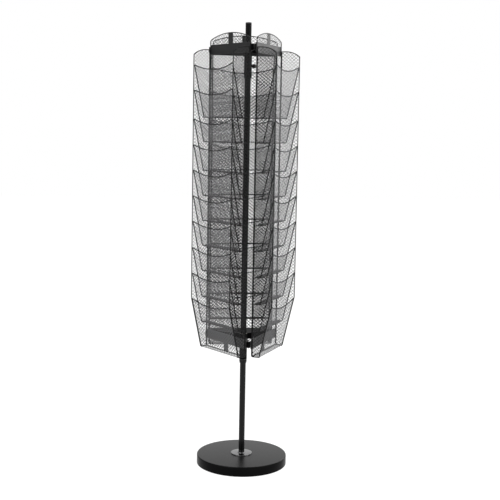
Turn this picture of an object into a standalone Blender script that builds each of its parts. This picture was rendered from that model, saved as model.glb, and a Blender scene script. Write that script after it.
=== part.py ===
"""Floor-standing rotating rack for leaflets: a weighted base and pole, and three mesh columns of nested
pockets that turn on the pole. Metres, +Z up, origin on the floor at the pole's axis."""

import math

import bmesh
import bpy
from mathutils import Matrix, Vector

# Gaps between pieces that touch, and between pieces that run on each other
FIT_GAP = 0.0003
RUN_GAP = 0.0003

# Base and foot of the pole
BASE_RADIUS = 0.168
BASE_THICKNESS = 0.0352
BASE_EDGE_RADIUS = 0.004
PAD_THICKNESS = 0.0012
PAD_INSET = 0.004
BOLT_RADIUS = 0.006
BOLT_HEAD_RADIUS = 0.0105
BOLT_HEAD_HEIGHT = 0.008
BOLT_RECESS_RADIUS = 0.016
BOLT_REACH = 0.045
FLANGE_RADIUS = 0.0395
FLANGE_EDGE = 0.0015
FLANGE_HEIGHT = 0.009
FLANGE_NECK = 0.0035

# Pole
POLE_RADIUS = 0.0111
POLE_WALL = 0.0015
POLE_ABOVE_ARCH = 0.040
POLE_JOINT_HEIGHT = 0.790
INSERT_LENGTH = 0.055
JOINER_REACH = 0.060
JOINER_SHOULDER = 0.002
CAP_HEIGHT = 0.004
CAP_STEM = 0.016
CAP_ROUNDING = 0.0025

# Bearings and hubs
COLLAR_HEIGHT = 0.014
COLLAR_WALL = 0.0026
COLLAR_TAPER = 0.007
WASHER_THICKNESS = 0.0012
BUSH_WALL = 0.0012
SLEEVE_WALL = 0.0013
SLEEVE_BELOW_STRAP = 0.067
UPPER_SLEEVE_BELOW_STRAP = 0.085
SLEEVE_ABOVE_ARMS = 0.001
ARM_HEIGHT = 0.022
ARM_THICKNESS = 0.003
WING_THICKNESS = 0.0025
WING_LENGTH = 0.045

# Lock knob on the upper hub
KNOB_BELOW_STRAP = 0.0415
KNOB_BEARING = 330.0
KNOB_RADIUS = 0.0075
KNOB_LENGTH = 0.011
KNOB_NECK_RADIUS = 0.0048
KNOB_NECK_LENGTH = 0.004
KNOB_ROUNDING = 0.0015
SHANK_RADIUS = 0.0025
LOCK_TRAVEL = 0.0005

# Straps behind each column
STRAP_THICKNESS = 0.002
STRAP_HEIGHT = 0.035
STRAP_CORNER = 0.004
STRAP_ABOVE_FOOT = 0.0284
STRAP_BELOW_SHOULDER = 0.052
TAB_WIDTH = 0.026

# Columns: flat mesh sheets hemmed with a rim, their mesh drawn as a plain grid of windows
COLUMN_BEARINGS = {"c": 90.0, "a": 210.0, "b": 330.0}
COLUMN_INRADIUS = 0.082
COLUMN_WIDTH = 0.241
COLUMN_BOTTOM = 0.4386
SHOULDER_HEIGHT = 1.571
ARCH_RISE = 0.022
PANEL_CORNER = 0.008
ARCH_CORNER = 0.012
SHEET_THICKNESS = 0.001
RIM_WIDTH = 0.003
MESH_BAR = 0.008
BACK_WINDOWS_ACROSS = 3
BACK_WINDOW_ROWS = 7
WALL_WINDOW_ROWS = 6
WALL_DEPTH = 0.0745
WALL_BELOW_SHOULDER = 0.033
WALL_TOP_FLAT = 0.018
WALL_TOP_RADIUS = 0.090
WALL_CORNER = 0.008
WALL_FOOT_CORNER = 0.005

# Pockets, numbered from the top; the steps are from each floor to the one below
POCKET_STEPS = (0.089, 0.1045, 0.0925, 0.0925, 0.093, 0.094, 0.097, 0.095, 0.0955)
TOP_FLOOR_BELOW_SHOULDER = 0.2794
POCKET_DEPTH = 0.0297
POCKET_HEIGHT = 0.190
POCKET_DIP = 0.020
POCKET_WINDOWS_ACROSS = 3
POCKET_WINDOW_FOOT = 0.030

# Smoothness of round pieces, and the angle below which two faces count as one flat face
ROUND_STEPS = 26
BASE_STEPS = 44
ARCH_STEPS = 10
CORNER_STEPS = 3
DIP_STEPS = 8
FLAT_ANGLE = math.radians(0.1)

# Sizes that follow from the ones above
BASE_BOTTOM = PAD_THICKNESS + FIT_GAP
BASE_TOP = BASE_BOTTOM + BASE_THICKNESS
POLE_BOTTOM = BASE_TOP + FIT_GAP
POLE_BORE = POLE_RADIUS - POLE_WALL
PLUG_RADIUS = POLE_BORE - FIT_GAP
RING_BORE = POLE_RADIUS + FIT_GAP
BUSH_BORE = POLE_RADIUS + RUN_GAP
BUSH_RADIUS = BUSH_BORE + BUSH_WALL
SLEEVE_BORE = BUSH_RADIUS + FIT_GAP
SLEEVE_RADIUS = SLEEVE_BORE + SLEEVE_WALL
HALF_WIDTH = COLUMN_WIDTH / 2
ARCH_TOP = SHOULDER_HEIGHT + ARCH_RISE
WALL_TOP = SHOULDER_HEIGHT - WALL_BELOW_SHOULDER
POLE_TOP = ARCH_TOP + POLE_ABOVE_ARCH
LOWER_STRAP_BOTTOM = COLUMN_BOTTOM + STRAP_ABOVE_FOOT
UPPER_STRAP_BOTTOM = SHOULDER_HEIGHT - STRAP_BELOW_SHOULDER
LOWER_ARM_BOTTOM = LOWER_STRAP_BOTTOM + (STRAP_HEIGHT - ARM_HEIGHT) / 2
UPPER_ARM_BOTTOM = UPPER_STRAP_BOTTOM + (STRAP_HEIGHT - ARM_HEIGHT) / 2
LOWER_SLEEVE_BOTTOM = LOWER_STRAP_BOTTOM - SLEEVE_BELOW_STRAP
UPPER_SLEEVE_BOTTOM = UPPER_STRAP_BOTTOM - UPPER_SLEEVE_BELOW_STRAP
COLLAR_TOP = LOWER_SLEEVE_BOTTOM - FIT_GAP - WASHER_THICKNESS - FIT_GAP
KNOB_HEIGHT = UPPER_STRAP_BOTTOM - KNOB_BELOW_STRAP
TOP_FLOOR = SHOULDER_HEIGHT - TOP_FLOOR_BELOW_SHOULDER
STRAP_FRONT = -(RIM_WIDTH / 2 + FIT_GAP)
STRAP_BACK = STRAP_FRONT - STRAP_THICKNESS
WING_FACE = COLUMN_INRADIUS + STRAP_BACK - FIT_GAP
INNER_START = RIM_WIDTH / 2 + FIT_GAP
POCKET_HALF_WIDTH = HALF_WIDTH - RIM_WIDTH - FIT_GAP
POCKET_LEAN = (WALL_DEPTH - POCKET_DEPTH) / POCKET_HEIGHT
KNEE_HEIGHT = COLUMN_BOTTOM + POCKET_HEIGHT
MESH_BORDER = RIM_WIDTH + MESH_BAR
CORNER_BEARINGS = (270.0, 30.0, 150.0)


def clear_scene():
    for obj in list(bpy.data.objects):
        bpy.data.objects.remove(obj, do_unlink=True)


def make_material(name, colour, roughness, metallic):
    material = bpy.data.materials.new(name)
    material.use_nodes = True
    shader = material.node_tree.nodes["Principled BSDF"]
    shader.inputs["Base Color"].default_value = (*colour, 1.0)
    shader.inputs["Roughness"].default_value = roughness
    shader.inputs["Metallic"].default_value = metallic
    return material


def make_empty(name, parent=None, turn_deg=0.0):
    empty = bpy.data.objects.new(name, None)
    empty.rotation_euler.z = math.radians(turn_deg)
    empty.parent = parent
    bpy.context.scene.collection.objects.link(empty)
    return empty


def add_object(name, mesh, material, parent, location=(0.0, 0.0, 0.0)):
    if material.name not in mesh.materials:
        mesh.materials.append(material)
    obj = bpy.data.objects.new(name, mesh)
    obj.parent = parent
    obj.location = location
    bpy.context.scene.collection.objects.link(obj)
    return obj


def finish_mesh(bm, name, smooth=False):
    bmesh.ops.recalc_face_normals(bm, faces=bm.faces)
    mesh = bpy.data.meshes.new(name)
    bm.to_mesh(mesh)
    bm.free()
    if smooth:
        mesh.shade_smooth()
        mesh.set_sharp_from_angle(angle=math.radians(35))
    return mesh


def turned(name, profile, steps=ROUND_STEPS):
    """A solid of revolution about Z from a closed profile of (radius, height) points."""
    bm = bmesh.new()
    points = [bm.verts.new((radius, 0.0, height)) for radius, height in profile]
    for first, second in zip(points, points[1:] + points[:1]):
        if first.co.x > 0 or second.co.x > 0:
            bm.edges.new((first, second))
    bmesh.ops.spin(
        bm,
        geom=bm.verts[:] + bm.edges[:],
        cent=(0, 0, 0),
        axis=(0, 0, 1),
        angle=math.tau,
        steps=steps,
        use_merge=True,
    )
    bmesh.ops.remove_doubles(bm, verts=bm.verts, dist=1e-6)
    return finish_mesh(bm, name, smooth=True)


def tube(name, inner, outer, bottom, top):
    return turned(name, [(inner, bottom), (outer, bottom), (outer, top), (inner, top)])


def arc(centre, radius, start_deg, end_deg, steps):
    angles = [math.radians(start_deg + (end_deg - start_deg) * i / steps) for i in range(steps + 1)]
    return [(centre[0] + radius * math.cos(a), centre[1] + radius * math.sin(a)) for a in angles]


def rounded(corners, steps=CORNER_STEPS):
    """A closed outline from (across, up, radius) corners, each rounded to its radius."""
    outline = []
    count = len(corners)
    for i, (across, up, radius) in enumerate(corners):
        here = Vector((across, up))
        if not radius:
            outline.append(here)
            continue
        back = (Vector(corners[i - 1][:2]) - here).normalized()
        ahead = (Vector(corners[(i + 1) % count][:2]) - here).normalized()
        half = back.angle(ahead) / 2
        reach = radius / math.tan(half)
        centre = here + (back + ahead).normalized() * radius / math.sin(half)
        start = here + back * reach - centre
        sweep = start.angle_signed(here + ahead * reach - centre)
        for step in range(steps + 1):
            outline.append(centre + Matrix.Rotation(-sweep * step / steps, 2) @ start)
    return [tuple(point) for point in outline]


def inset(outline, distance):
    """A counter-clockwise outline moved inwards, with mitred corners."""
    moved = []
    count = len(outline)
    for i, point in enumerate(outline):
        here = Vector(point)
        before = (here - Vector(outline[i - 1])).normalized()
        after = (Vector(outline[(i + 1) % count]) - here).normalized()
        left_before = Vector((-before.y, before.x))
        left_after = Vector((-after.y, after.x))
        shift = (left_before + left_after) / (1 + left_before.dot(left_after))
        moved.append(tuple(here + shift * distance))
    return moved


def facing_y(across, up, depth):
    return (across, depth, up)


def facing_x(across, up, depth):
    return (depth, across, up)


def lying_flat(across, along, up):
    return (across, along, up)


def extruded(name, outlines, low, high, place):
    """Flat outlines made solid between two depths."""
    bm = bmesh.new()
    for outline in outlines:
        near = [bm.verts.new(place(*point, low)) for point in outline]
        far = [bm.verts.new(place(*point, high)) for point in outline]
        bm.faces.new(near)
        bm.faces.new(far[::-1])
        for i in range(len(outline)):
            bm.faces.new((near[i - 1], near[i], far[i], far[i - 1]))
    return finish_mesh(bm, name)


def hemmed_sheet(name, outline, place):
    """A thin sheet whose whole edge is a thicker rim, standing out on both faces."""
    inner = inset(outline, RIM_WIDTH)
    rim_half = RIM_WIDTH / 2
    sheet_half = SHEET_THICKNESS / 2
    bm = bmesh.new()

    def loop(points, depth):
        return [bm.verts.new(place(*point, depth)) for point in points]

    loops = [
        loop(inner, -sheet_half),
        loop(inner, -rim_half),
        loop(outline, -rim_half),
        loop(outline, rim_half),
        loop(inner, rim_half),
        loop(inner, sheet_half),
    ]
    for first, second in zip(loops, loops[1:]):
        for i in range(len(outline)):
            bm.faces.new((first[i - 1], first[i], second[i], second[i - 1]))
    bm.faces.new(loops[0][::-1])
    bm.faces.new(loops[-1])
    return finish_mesh(bm, name)


def hide_helper(obj):
    obj.hide_render = True
    obj.display_type = "WIRE"


def boolean(obj, operation, other):
    modifier = obj.modifiers.new(f"{operation.lower()} {other.name}", "BOOLEAN")
    modifier.operation = operation
    modifier.solver = "EXACT"
    modifier.object = other
    hide_helper(other)


def build_base(stand, paint, rubber, steel, chrome):
    pad_radius = BASE_RADIUS - PAD_INSET
    profile = [(0, 0), (pad_radius, 0), (pad_radius, PAD_THICKNESS), (0, PAD_THICKNESS)]
    add_object("base_pad", turned("base_pad", profile, BASE_STEPS), rubber, stand)

    hole = BOLT_RADIUS + FIT_GAP
    recess_top = BASE_BOTTOM + FIT_GAP + BOLT_HEAD_HEIGHT + FIT_GAP
    edge_centre = (BASE_RADIUS - BASE_EDGE_RADIUS, BASE_TOP - BASE_EDGE_RADIUS)
    rounding = arc(edge_centre, BASE_EDGE_RADIUS, 0, 90, CORNER_STEPS)
    profile = [(hole, recess_top), (BOLT_RECESS_RADIUS, recess_top), (BOLT_RECESS_RADIUS, BASE_BOTTOM)]
    profile += [(BASE_RADIUS, BASE_BOTTOM)] + rounding + [(hole, BASE_TOP)]
    add_object("base_disc", turned("base_disc", profile, BASE_STEPS), paint, stand)

    head_top = recess_top - FIT_GAP
    head_bottom = head_top - BOLT_HEAD_HEIGHT
    tip = POLE_BOTTOM + BOLT_REACH
    shank = [(BOLT_RADIUS, head_top), (BOLT_RADIUS, tip), (0, tip)]
    head = [(0, head_bottom), (BOLT_HEAD_RADIUS, head_bottom), (BOLT_HEAD_RADIUS, head_top)]
    add_object("base_bolt", turned("base_bolt", head + shank), steel, stand)

    flange_bottom = BASE_TOP + FIT_GAP
    neck_radius = RING_BORE + FLANGE_NECK
    dish = []
    for i in range(CORNER_STEPS + 3):
        share = i / (CORNER_STEPS + 2)
        radius = FLANGE_RADIUS + (neck_radius - FLANGE_RADIUS) * share
        rise = FLANGE_EDGE + (FLANGE_HEIGHT - FLANGE_EDGE) * share**2
        dish.append((radius, flange_bottom + rise))
    profile = [(RING_BORE, flange_bottom), (FLANGE_RADIUS, flange_bottom)] + dish
    profile.append((RING_BORE, flange_bottom + FLANGE_HEIGHT))
    add_object("pole_flange", turned("pole_flange", profile, BASE_STEPS), chrome, stand)


def build_pole(stand, paint, steel, plastic):
    insert_bore = BOLT_RADIUS + FIT_GAP
    insert_top = POLE_BOTTOM + INSERT_LENGTH
    shoulder_bottom = POLE_JOINT_HEIGHT - JOINER_SHOULDER / 2
    shoulder_top = POLE_JOINT_HEIGHT + JOINER_SHOULDER / 2
    lower_top = shoulder_bottom - FIT_GAP
    lower = [(insert_bore, POLE_BOTTOM), (POLE_RADIUS, POLE_BOTTOM), (POLE_RADIUS, lower_top)]
    lower += [(POLE_BORE, lower_top), (POLE_BORE, insert_top), (insert_bore, insert_top)]
    add_object("lower_pole", turned("lower_pole", lower), paint, stand)

    joiner = [(0, shoulder_bottom - JOINER_REACH), (PLUG_RADIUS, shoulder_bottom - JOINER_REACH)]
    joiner += [(PLUG_RADIUS, shoulder_bottom), (POLE_RADIUS, shoulder_bottom), (POLE_RADIUS, shoulder_top)]
    joiner += [(PLUG_RADIUS, shoulder_top), (PLUG_RADIUS, shoulder_top + JOINER_REACH)]
    joiner.append((0, shoulder_top + JOINER_REACH))
    add_object("pole_joiner", turned("pole_joiner", joiner), steel, stand)

    cap_bottom = POLE_TOP - CAP_HEIGHT
    upper = tube("upper_pole", POLE_BORE, POLE_RADIUS, shoulder_top + FIT_GAP, cap_bottom - FIT_GAP)
    add_object("upper_pole", upper, paint, stand)

    dome = arc((POLE_RADIUS - CAP_ROUNDING, POLE_TOP - CAP_ROUNDING), CAP_ROUNDING, 0, 90, CORNER_STEPS)
    cap = [(0, cap_bottom - CAP_STEM), (PLUG_RADIUS, cap_bottom - CAP_STEM), (PLUG_RADIUS, cap_bottom)]
    cap += [(POLE_RADIUS, cap_bottom)] + dome + [(0, POLE_TOP)]
    add_object("pole_cap", turned("pole_cap", cap), plastic, stand)


def build_bearing(stand, paint, nylon):
    collar_radius = RING_BORE + COLLAR_WALL
    collar_bottom = COLLAR_TOP - COLLAR_HEIGHT
    foot_radius = RING_BORE + COLLAR_WALL / 3
    collar = [(RING_BORE, collar_bottom), (foot_radius, collar_bottom)]
    collar += [(collar_radius, collar_bottom + COLLAR_TAPER), (collar_radius, COLLAR_TOP)]
    collar.append((RING_BORE, COLLAR_TOP))
    add_object("stop_collar", turned("stop_collar", collar), paint, stand)

    washer_bottom = COLLAR_TOP + FIT_GAP
    washer = tube("thrust_washer", RING_BORE, collar_radius, washer_bottom, washer_bottom + WASHER_THICKNESS)
    add_object("thrust_washer", washer, nylon, stand)


def arm_outline():
    """One hub arm in plan, running along +X, with a V end whose wings lie along two neighbouring straps."""
    half = ARM_THICKNESS / 2
    normal = Vector((math.cos(math.radians(60)), math.sin(math.radians(60))))
    along = Vector((-normal.y, normal.x))
    apex = Vector((WING_FACE / normal.x, 0.0))
    outer_end = apex + along * WING_LENGTH
    inner_end = outer_end - normal * WING_THICKNESS
    inner_root = Vector(((WING_FACE - WING_THICKNESS - half * normal.y) / normal.x, half))
    root = Vector((SLEEVE_RADIUS - SLEEVE_WALL / 2, half))
    upper = [root, inner_root, inner_end, outer_end]
    lower = [Vector((point.x, -point.y)) for point in upper]
    return [tuple(point) for point in lower + [apex] + upper[::-1]]


def build_hub(name, rotor, paint, nylon, sleeve_bottom, arm_bottom):
    sleeve_top = arm_bottom + ARM_HEIGHT + SLEEVE_ABOVE_ARMS
    sleeve = tube(f"{name}_hub", SLEEVE_BORE, SLEEVE_RADIUS, sleeve_bottom, sleeve_top)
    hub = add_object(f"{name}_hub", sleeve, paint, rotor)
    outline = arm_outline()
    for number, bearing in enumerate(CORNER_BEARINGS, start=1):
        helper_name = f"{name}_arm_{number}"
        arm_mesh = extruded(helper_name, [outline], arm_bottom, arm_bottom + ARM_HEIGHT, lying_flat)
        arm = add_object(helper_name, arm_mesh, paint, rotor)
        arm.rotation_euler.z = math.radians(bearing)
        boolean(hub, "UNION", arm)
    liner = tube(f"{name}_bush", BUSH_BORE, BUSH_RADIUS, sleeve_bottom, sleeve_top)
    bush = add_object(f"{name}_bush", liner, nylon, rotor)
    return hub, bush


def build_knob(rotor, plastic, pierced):
    """The knob is turned about its own axis, which then points outwards from the pole."""
    neck_start = SLEEVE_RADIUS + FIT_GAP
    head_start = neck_start + KNOB_NECK_LENGTH
    head_end = head_start + KNOB_LENGTH
    tip = POLE_RADIUS + LOCK_TRAVEL
    end_centre = (KNOB_RADIUS - KNOB_ROUNDING, head_end - KNOB_ROUNDING)
    rounding = arc(end_centre, KNOB_ROUNDING, 0, 90, CORNER_STEPS)
    profile = [(0, tip), (SHANK_RADIUS, tip), (SHANK_RADIUS, neck_start), (KNOB_NECK_RADIUS, neck_start)]
    profile += [(KNOB_NECK_RADIUS, head_start), (KNOB_RADIUS, head_start)] + rounding + [(0, head_end)]
    axis_turn = (0.0, math.radians(90), math.radians(KNOB_BEARING))
    knob = add_object("lock_knob", turned("lock_knob", profile), plastic, rotor, (0, 0, KNOB_HEIGHT))
    knob.rotation_euler = axis_turn

    drill_radius = SHANK_RADIUS + FIT_GAP
    drill_end = SLEEVE_RADIUS + SLEEVE_WALL
    drill_profile = [(0, 0), (drill_radius, 0), (drill_radius, drill_end), (0, drill_end)]
    drill = add_object("knob_drill", turned("knob_drill", drill_profile), plastic, rotor, (0, 0, KNOB_HEIGHT))
    drill.rotation_euler = axis_turn
    for piece in pierced:
        boolean(piece, "DIFFERENCE", drill)


def strap_mesh(name, bottom, tab_end):
    """A flat bar with a central tab that runs up or down to a column's rim."""
    top = bottom + STRAP_HEIGHT
    half_tab = TAB_WIDTH / 2
    bar = [(-HALF_WIDTH, bottom), (HALF_WIDTH, bottom), (HALF_WIDTH, top), (-HALF_WIDTH, top)]
    corners = [(across, up, STRAP_CORNER) for across, up in bar]
    if tab_end > top:
        tab = [(half_tab, top), (half_tab, tab_end), (-half_tab, tab_end), (-half_tab, top)]
        corners[3:3] = [(*point, 0) for point in tab]
    else:
        tab = [(-half_tab, bottom), (-half_tab, tab_end), (half_tab, tab_end), (half_tab, bottom)]
        corners[1:1] = [(*point, 0) for point in tab]
    return extruded(name, [rounded(corners)], STRAP_BACK, STRAP_FRONT, facing_y)


def build_straps(letter, column, paint):
    """Two straps against the back of one column, each with its tab ending behind the column's rim."""
    for level, bottom, tab_end in (
        ("upper", UPPER_STRAP_BOTTOM, ARCH_TOP),
        ("lower", LOWER_STRAP_BOTTOM, COLUMN_BOTTOM),
    ):
        name = f"{level}_strap_{letter}"
        add_object(name, strap_mesh(name, bottom, tab_end), paint, column, (0, COLUMN_INRADIUS, 0))


def back_mesh():
    """The back's outline: straight sides and foot, and an arched top between two shoulders."""
    arch_radius = (HALF_WIDTH**2 + ARCH_RISE**2) / (2 * ARCH_RISE)
    spread = math.degrees(math.asin(HALF_WIDTH / arch_radius))
    arch = arc((0.0, ARCH_TOP - arch_radius), arch_radius, 90 - spread, 90 + spread, ARCH_STEPS)
    corners = [(-HALF_WIDTH, COLUMN_BOTTOM, PANEL_CORNER), (HALF_WIDTH, COLUMN_BOTTOM, PANEL_CORNER)]
    corners += [(*arch[0], ARCH_CORNER)] + [(*point, 0) for point in arch[1:-1]] + [(*arch[-1], ARCH_CORNER)]
    return hemmed_sheet("back_panel", rounded(corners), facing_y)


def window_spans(start, end, count):
    """Even spans from start to end with a bar between neighbours."""
    pitch = (end - start + MESH_BAR) / count
    return [(start + i * pitch, start + (i + 1) * pitch - MESH_BAR) for i in range(count)]


def window(left, right, bottom, top):
    return [(left, bottom), (right, bottom), (right, top), (left, top)]


def back_windows():
    reach = HALF_WIDTH - MESH_BORDER
    rows = window_spans(COLUMN_BOTTOM + MESH_BORDER, SHOULDER_HEIGHT - MESH_BORDER, BACK_WINDOW_ROWS)
    spans = window_spans(-reach, reach, BACK_WINDOWS_ACROSS)
    return [window(*span, *row) for row in rows for span in spans]


def wall_windows():
    """A column of windows above the knee, and one in the foot that follows its sloping front."""
    back = INNER_START + MESH_BORDER
    front = WALL_DEPTH - MESH_BORDER
    crown_fall = WALL_TOP_RADIUS - math.sqrt(WALL_TOP_RADIUS**2 - (front - WALL_TOP_FLAT) ** 2)
    rows = window_spans(KNEE_HEIGHT, WALL_TOP - crown_fall - MESH_BORDER, WALL_WINDOW_ROWS)
    low, high = COLUMN_BOTTOM + MESH_BORDER, KNEE_HEIGHT - MESH_BAR
    slope = POCKET_DEPTH - MESH_BORDER * math.hypot(1.0, POCKET_LEAN)
    foot_front = [(slope + POCKET_LEAN * (height - COLUMN_BOTTOM), height) for height in (low, high)]
    return [[(back, low)] + foot_front + [(back, high)]] + [window(back, front, *row) for row in rows]


def pocket_windows():
    """A row of windows in the front, clear of the floor's bend and of the dipped edge."""
    reach = POCKET_HALF_WIDTH - MESH_BAR
    top = POCKET_HEIGHT - POCKET_DIP - MESH_BORDER
    spans = window_spans(-reach, reach, POCKET_WINDOWS_ACROSS)
    return [window(*span, POCKET_WINDOW_FOOT, top) for span in spans]


def wall_mesh():
    """A side wall: level then curving top, upright front, and a foot drawn in along the last pocket."""
    reach = WALL_DEPTH - WALL_TOP_FLAT
    fall = math.degrees(math.asin(reach / WALL_TOP_RADIUS))
    crown = arc((WALL_TOP_FLAT, WALL_TOP - WALL_TOP_RADIUS), WALL_TOP_RADIUS, 90 - fall, 90, ARCH_STEPS // 2)
    corners = [(INNER_START, COLUMN_BOTTOM, 0), (POCKET_DEPTH, COLUMN_BOTTOM, WALL_FOOT_CORNER)]
    corners += [(WALL_DEPTH, KNEE_HEIGHT, PANEL_CORNER), (*crown[0], WALL_CORNER)]
    corners += [(*point, 0) for point in crown[1:]]
    corners.append((INNER_START, WALL_TOP, 0))
    return hemmed_sheet("side_wall", rounded(corners), facing_x)


def pocket_section(across):
    """The folded sheet's section at one place across the pocket, round from the back of its floor."""
    slant = math.hypot(1.0, POCKET_LEAN)
    sheet = SHEET_THICKNESS * slant
    proud = (RIM_WIDTH - SHEET_THICKNESS) / 2 * slant
    top = POCKET_HEIGHT - POCKET_DIP * (1 - (across / POCKET_HALF_WIDTH) ** 2)
    rim_foot = top - RIM_WIDTH

    def front(height, offset):
        return (POCKET_DEPTH - proud + POCKET_LEAN * height + offset, height)

    return [
        (INNER_START, 0.0),
        front(0.0, 0.0),
        front(rim_foot, 0.0),
        front(rim_foot, proud),
        front(top, proud),
        front(top, -sheet),
        front(SHEET_THICKNESS, -sheet),
        (INNER_START, SHEET_THICKNESS),
    ]


def pocket_mesh():
    bm = bmesh.new()
    sections = []
    for step in range(DIP_STEPS + 1):
        across = POCKET_HALF_WIDTH * (2 * step / DIP_STEPS - 1)
        sections.append([bm.verts.new((across, out, up)) for out, up in pocket_section(across)])
    for first, second in zip(sections, sections[1:]):
        for i in range(len(first)):
            bm.faces.new((first[i - 1], first[i], second[i], second[i - 1]))
    bm.faces.new(sections[0][::-1])
    bm.faces.new(sections[-1])
    bm.normal_update()
    bmesh.ops.dissolve_limit(bm, angle_limit=FLAT_ANGLE, verts=bm.verts, edges=bm.edges)
    return finish_mesh(bm, "pocket")


def pocket_floors():
    """Heights of the pocket floors from the top pocket down to the column's foot."""
    stretch = (TOP_FLOOR - COLUMN_BOTTOM) / sum(POCKET_STEPS)
    floors = [TOP_FLOOR]
    for step in POCKET_STEPS:
        floors.append(floors[-1] - step * stretch)
    return floors


def build_columns(rotor, paint, mesh_paint):
    back = back_mesh()
    wall = wall_mesh()
    pocket = pocket_mesh()
    back_cutter = extruded("back_windows", back_windows(), -RIM_WIDTH, RIM_WIDTH, facing_y)
    wall_cutter = extruded("wall_windows", wall_windows(), -RIM_WIDTH, RIM_WIDTH, facing_x)
    pocket_cutter = extruded("pocket_windows", pocket_windows(), 0.0, WALL_DEPTH + RIM_WIDTH, facing_y)
    wall_offset = HALF_WIDTH - RIM_WIDTH / 2
    for letter, bearing in COLUMN_BEARINGS.items():
        column = make_empty(f"column_{letter}", rotor, bearing - 90.0)
        sheets = [(f"back_panel_{letter}", back, back_cutter, (0, COLUMN_INRADIUS, 0))]
        for side, sign in (("left", 1), ("right", -1)):
            place = (sign * wall_offset, COLUMN_INRADIUS, 0)
            sheets.append((f"side_wall_{letter}_{side}", wall, wall_cutter, place))
        for number, floor in enumerate(pocket_floors(), start=1):
            place = (0, COLUMN_INRADIUS, floor)
            sheets.append((f"pocket_{letter}_{number:02d}", pocket, pocket_cutter, place))
        for name, mesh, cutter_mesh, place in sheets:
            sheet = add_object(name, mesh, mesh_paint, column, place)
            cutter = add_object(f"{name}_windows", cutter_mesh, mesh_paint, column, place)
            boolean(sheet, "DIFFERENCE", cutter)
        build_straps(letter, column, paint)


def build():
    clear_scene()
    paint = make_material("black powder coat", (0.016, 0.016, 0.017), 0.42, 0.0)
    mesh_paint = make_material("black mesh", (0.014, 0.014, 0.015), 0.45, 0.0)
    chrome = make_material("bright plate", (0.62, 0.62, 0.63), 0.12, 1.0)
    steel = make_material("zinc steel", (0.48, 0.48, 0.47), 0.35, 1.0)
    nylon = make_material("natural nylon", (0.72, 0.70, 0.64), 0.5, 0.0)
    plastic = make_material("black plastic", (0.02, 0.02, 0.02), 0.38, 0.0)
    rubber = make_material("black rubber", (0.03, 0.03, 0.03), 0.85, 0.0)

    stand = make_empty("stand")
    rotor = make_empty("rack_spin")
    build_base(stand, paint, rubber, steel, chrome)
    build_pole(stand, paint, steel, plastic)
    build_bearing(stand, paint, nylon)
    build_hub("lower", rotor, paint, nylon, LOWER_SLEEVE_BOTTOM, LOWER_ARM_BOTTOM)
    pierced = build_hub("upper", rotor, paint, nylon, UPPER_SLEEVE_BOTTOM, UPPER_ARM_BOTTOM)
    build_knob(rotor, plastic, pierced)
    build_columns(rotor, paint, mesh_paint)


build()
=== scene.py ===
"""Looks of the rotating leaflet rack: mesh sheets with wire rims, turned pieces, coats and studio light."""

import math

import bmesh
import bpy
import numpy as np
from mathutils import Matrix, Vector


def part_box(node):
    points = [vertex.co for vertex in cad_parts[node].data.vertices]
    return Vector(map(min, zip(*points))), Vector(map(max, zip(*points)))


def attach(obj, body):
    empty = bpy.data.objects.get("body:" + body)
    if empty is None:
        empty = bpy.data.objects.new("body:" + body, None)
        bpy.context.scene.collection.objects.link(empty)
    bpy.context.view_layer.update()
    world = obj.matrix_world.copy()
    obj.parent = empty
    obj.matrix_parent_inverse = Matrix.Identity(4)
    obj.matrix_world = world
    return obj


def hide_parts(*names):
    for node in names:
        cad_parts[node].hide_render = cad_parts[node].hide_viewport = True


# Camera, fitted to the photograph: degrees, metres and pixels, with the sensor's width in millimetres
CAMERA_BEARING = -7.35
CAMERA_DISTANCE = 3.76126
CAMERA_HEIGHT = 1.26533
CAMERA_YAW = -0.29
CAMERA_PITCH = 6.91
CAMERA_ROLL = 1.01
FOCAL_PIXELS = 1027.01
PHOTO_WIDTH = 500
SENSOR_WIDTH = 36.0
VIEW_END = 60.0

# Sizes that the visual pieces share with the solids, in metres and degrees
GAP = 0.0003
BASE_RADIUS = 0.168
BASE_EDGE_RADIUS = 0.004
BOLT_RADIUS = 0.006
BOLT_HEAD_HEIGHT = 0.008
BOLT_RECESS_RADIUS = 0.016
FLANGE_RADIUS = 0.0395
FLANGE_EDGE = 0.0015
FLANGE_NECK = 0.0035
POLE_RADIUS = 0.0111
POLE_WALL = 0.0015
INSERT_LENGTH = 0.055
CAP_HEIGHT = 0.004
CAP_ROUNDING = 0.0025
COLLAR_WALL = 0.0026
COLLAR_TAPER = 0.007
SLEEVE_RADIUS = 0.0142
SLEEVE_ABOVE_ARMS = 0.001
ARM_HEIGHT = 0.022
ARM_THICKNESS = 0.003
WING_FACE = 0.0779
WING_THICKNESS = 0.0025
WING_ANGLE = 60.0
KNOB_HEIGHT = 1.4775
KNOB_BEARING = 330.0
KNOB_RADIUS = 0.0075
KNOB_LENGTH = 0.011
KNOB_NECK_RADIUS = 0.0048
KNOB_NECK_LENGTH = 0.004
KNOB_ROUNDING = 0.0015
SHANK_RADIUS = 0.0025
LOCK_TRAVEL = 0.0005
COLUMN_BEARINGS = {"a": 210.0, "b": 330.0, "c": 90.0}
CORNER_BEARINGS = (270.0, 30.0, 150.0)
COLUMN_INRADIUS = 0.082
COLUMN_WIDTH = 0.241
COLUMN_BOTTOM = 0.4386
SHOULDER_HEIGHT = 1.571
ARCH_RISE = 0.022
PANEL_CORNER = 0.008
ARCH_CORNER = 0.012
RIM_WIDTH = 0.003
WALL_DEPTH = 0.0745
WALL_BELOW_SHOULDER = 0.033
WALL_TOP_FLAT = 0.018
WALL_TOP_RADIUS = 0.090
WALL_CORNER = 0.008
POCKET_COUNT = 10
POCKET_DEPTH = 0.0297
POCKET_HEIGHT = 0.190
POCKET_DIP = 0.020

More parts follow.
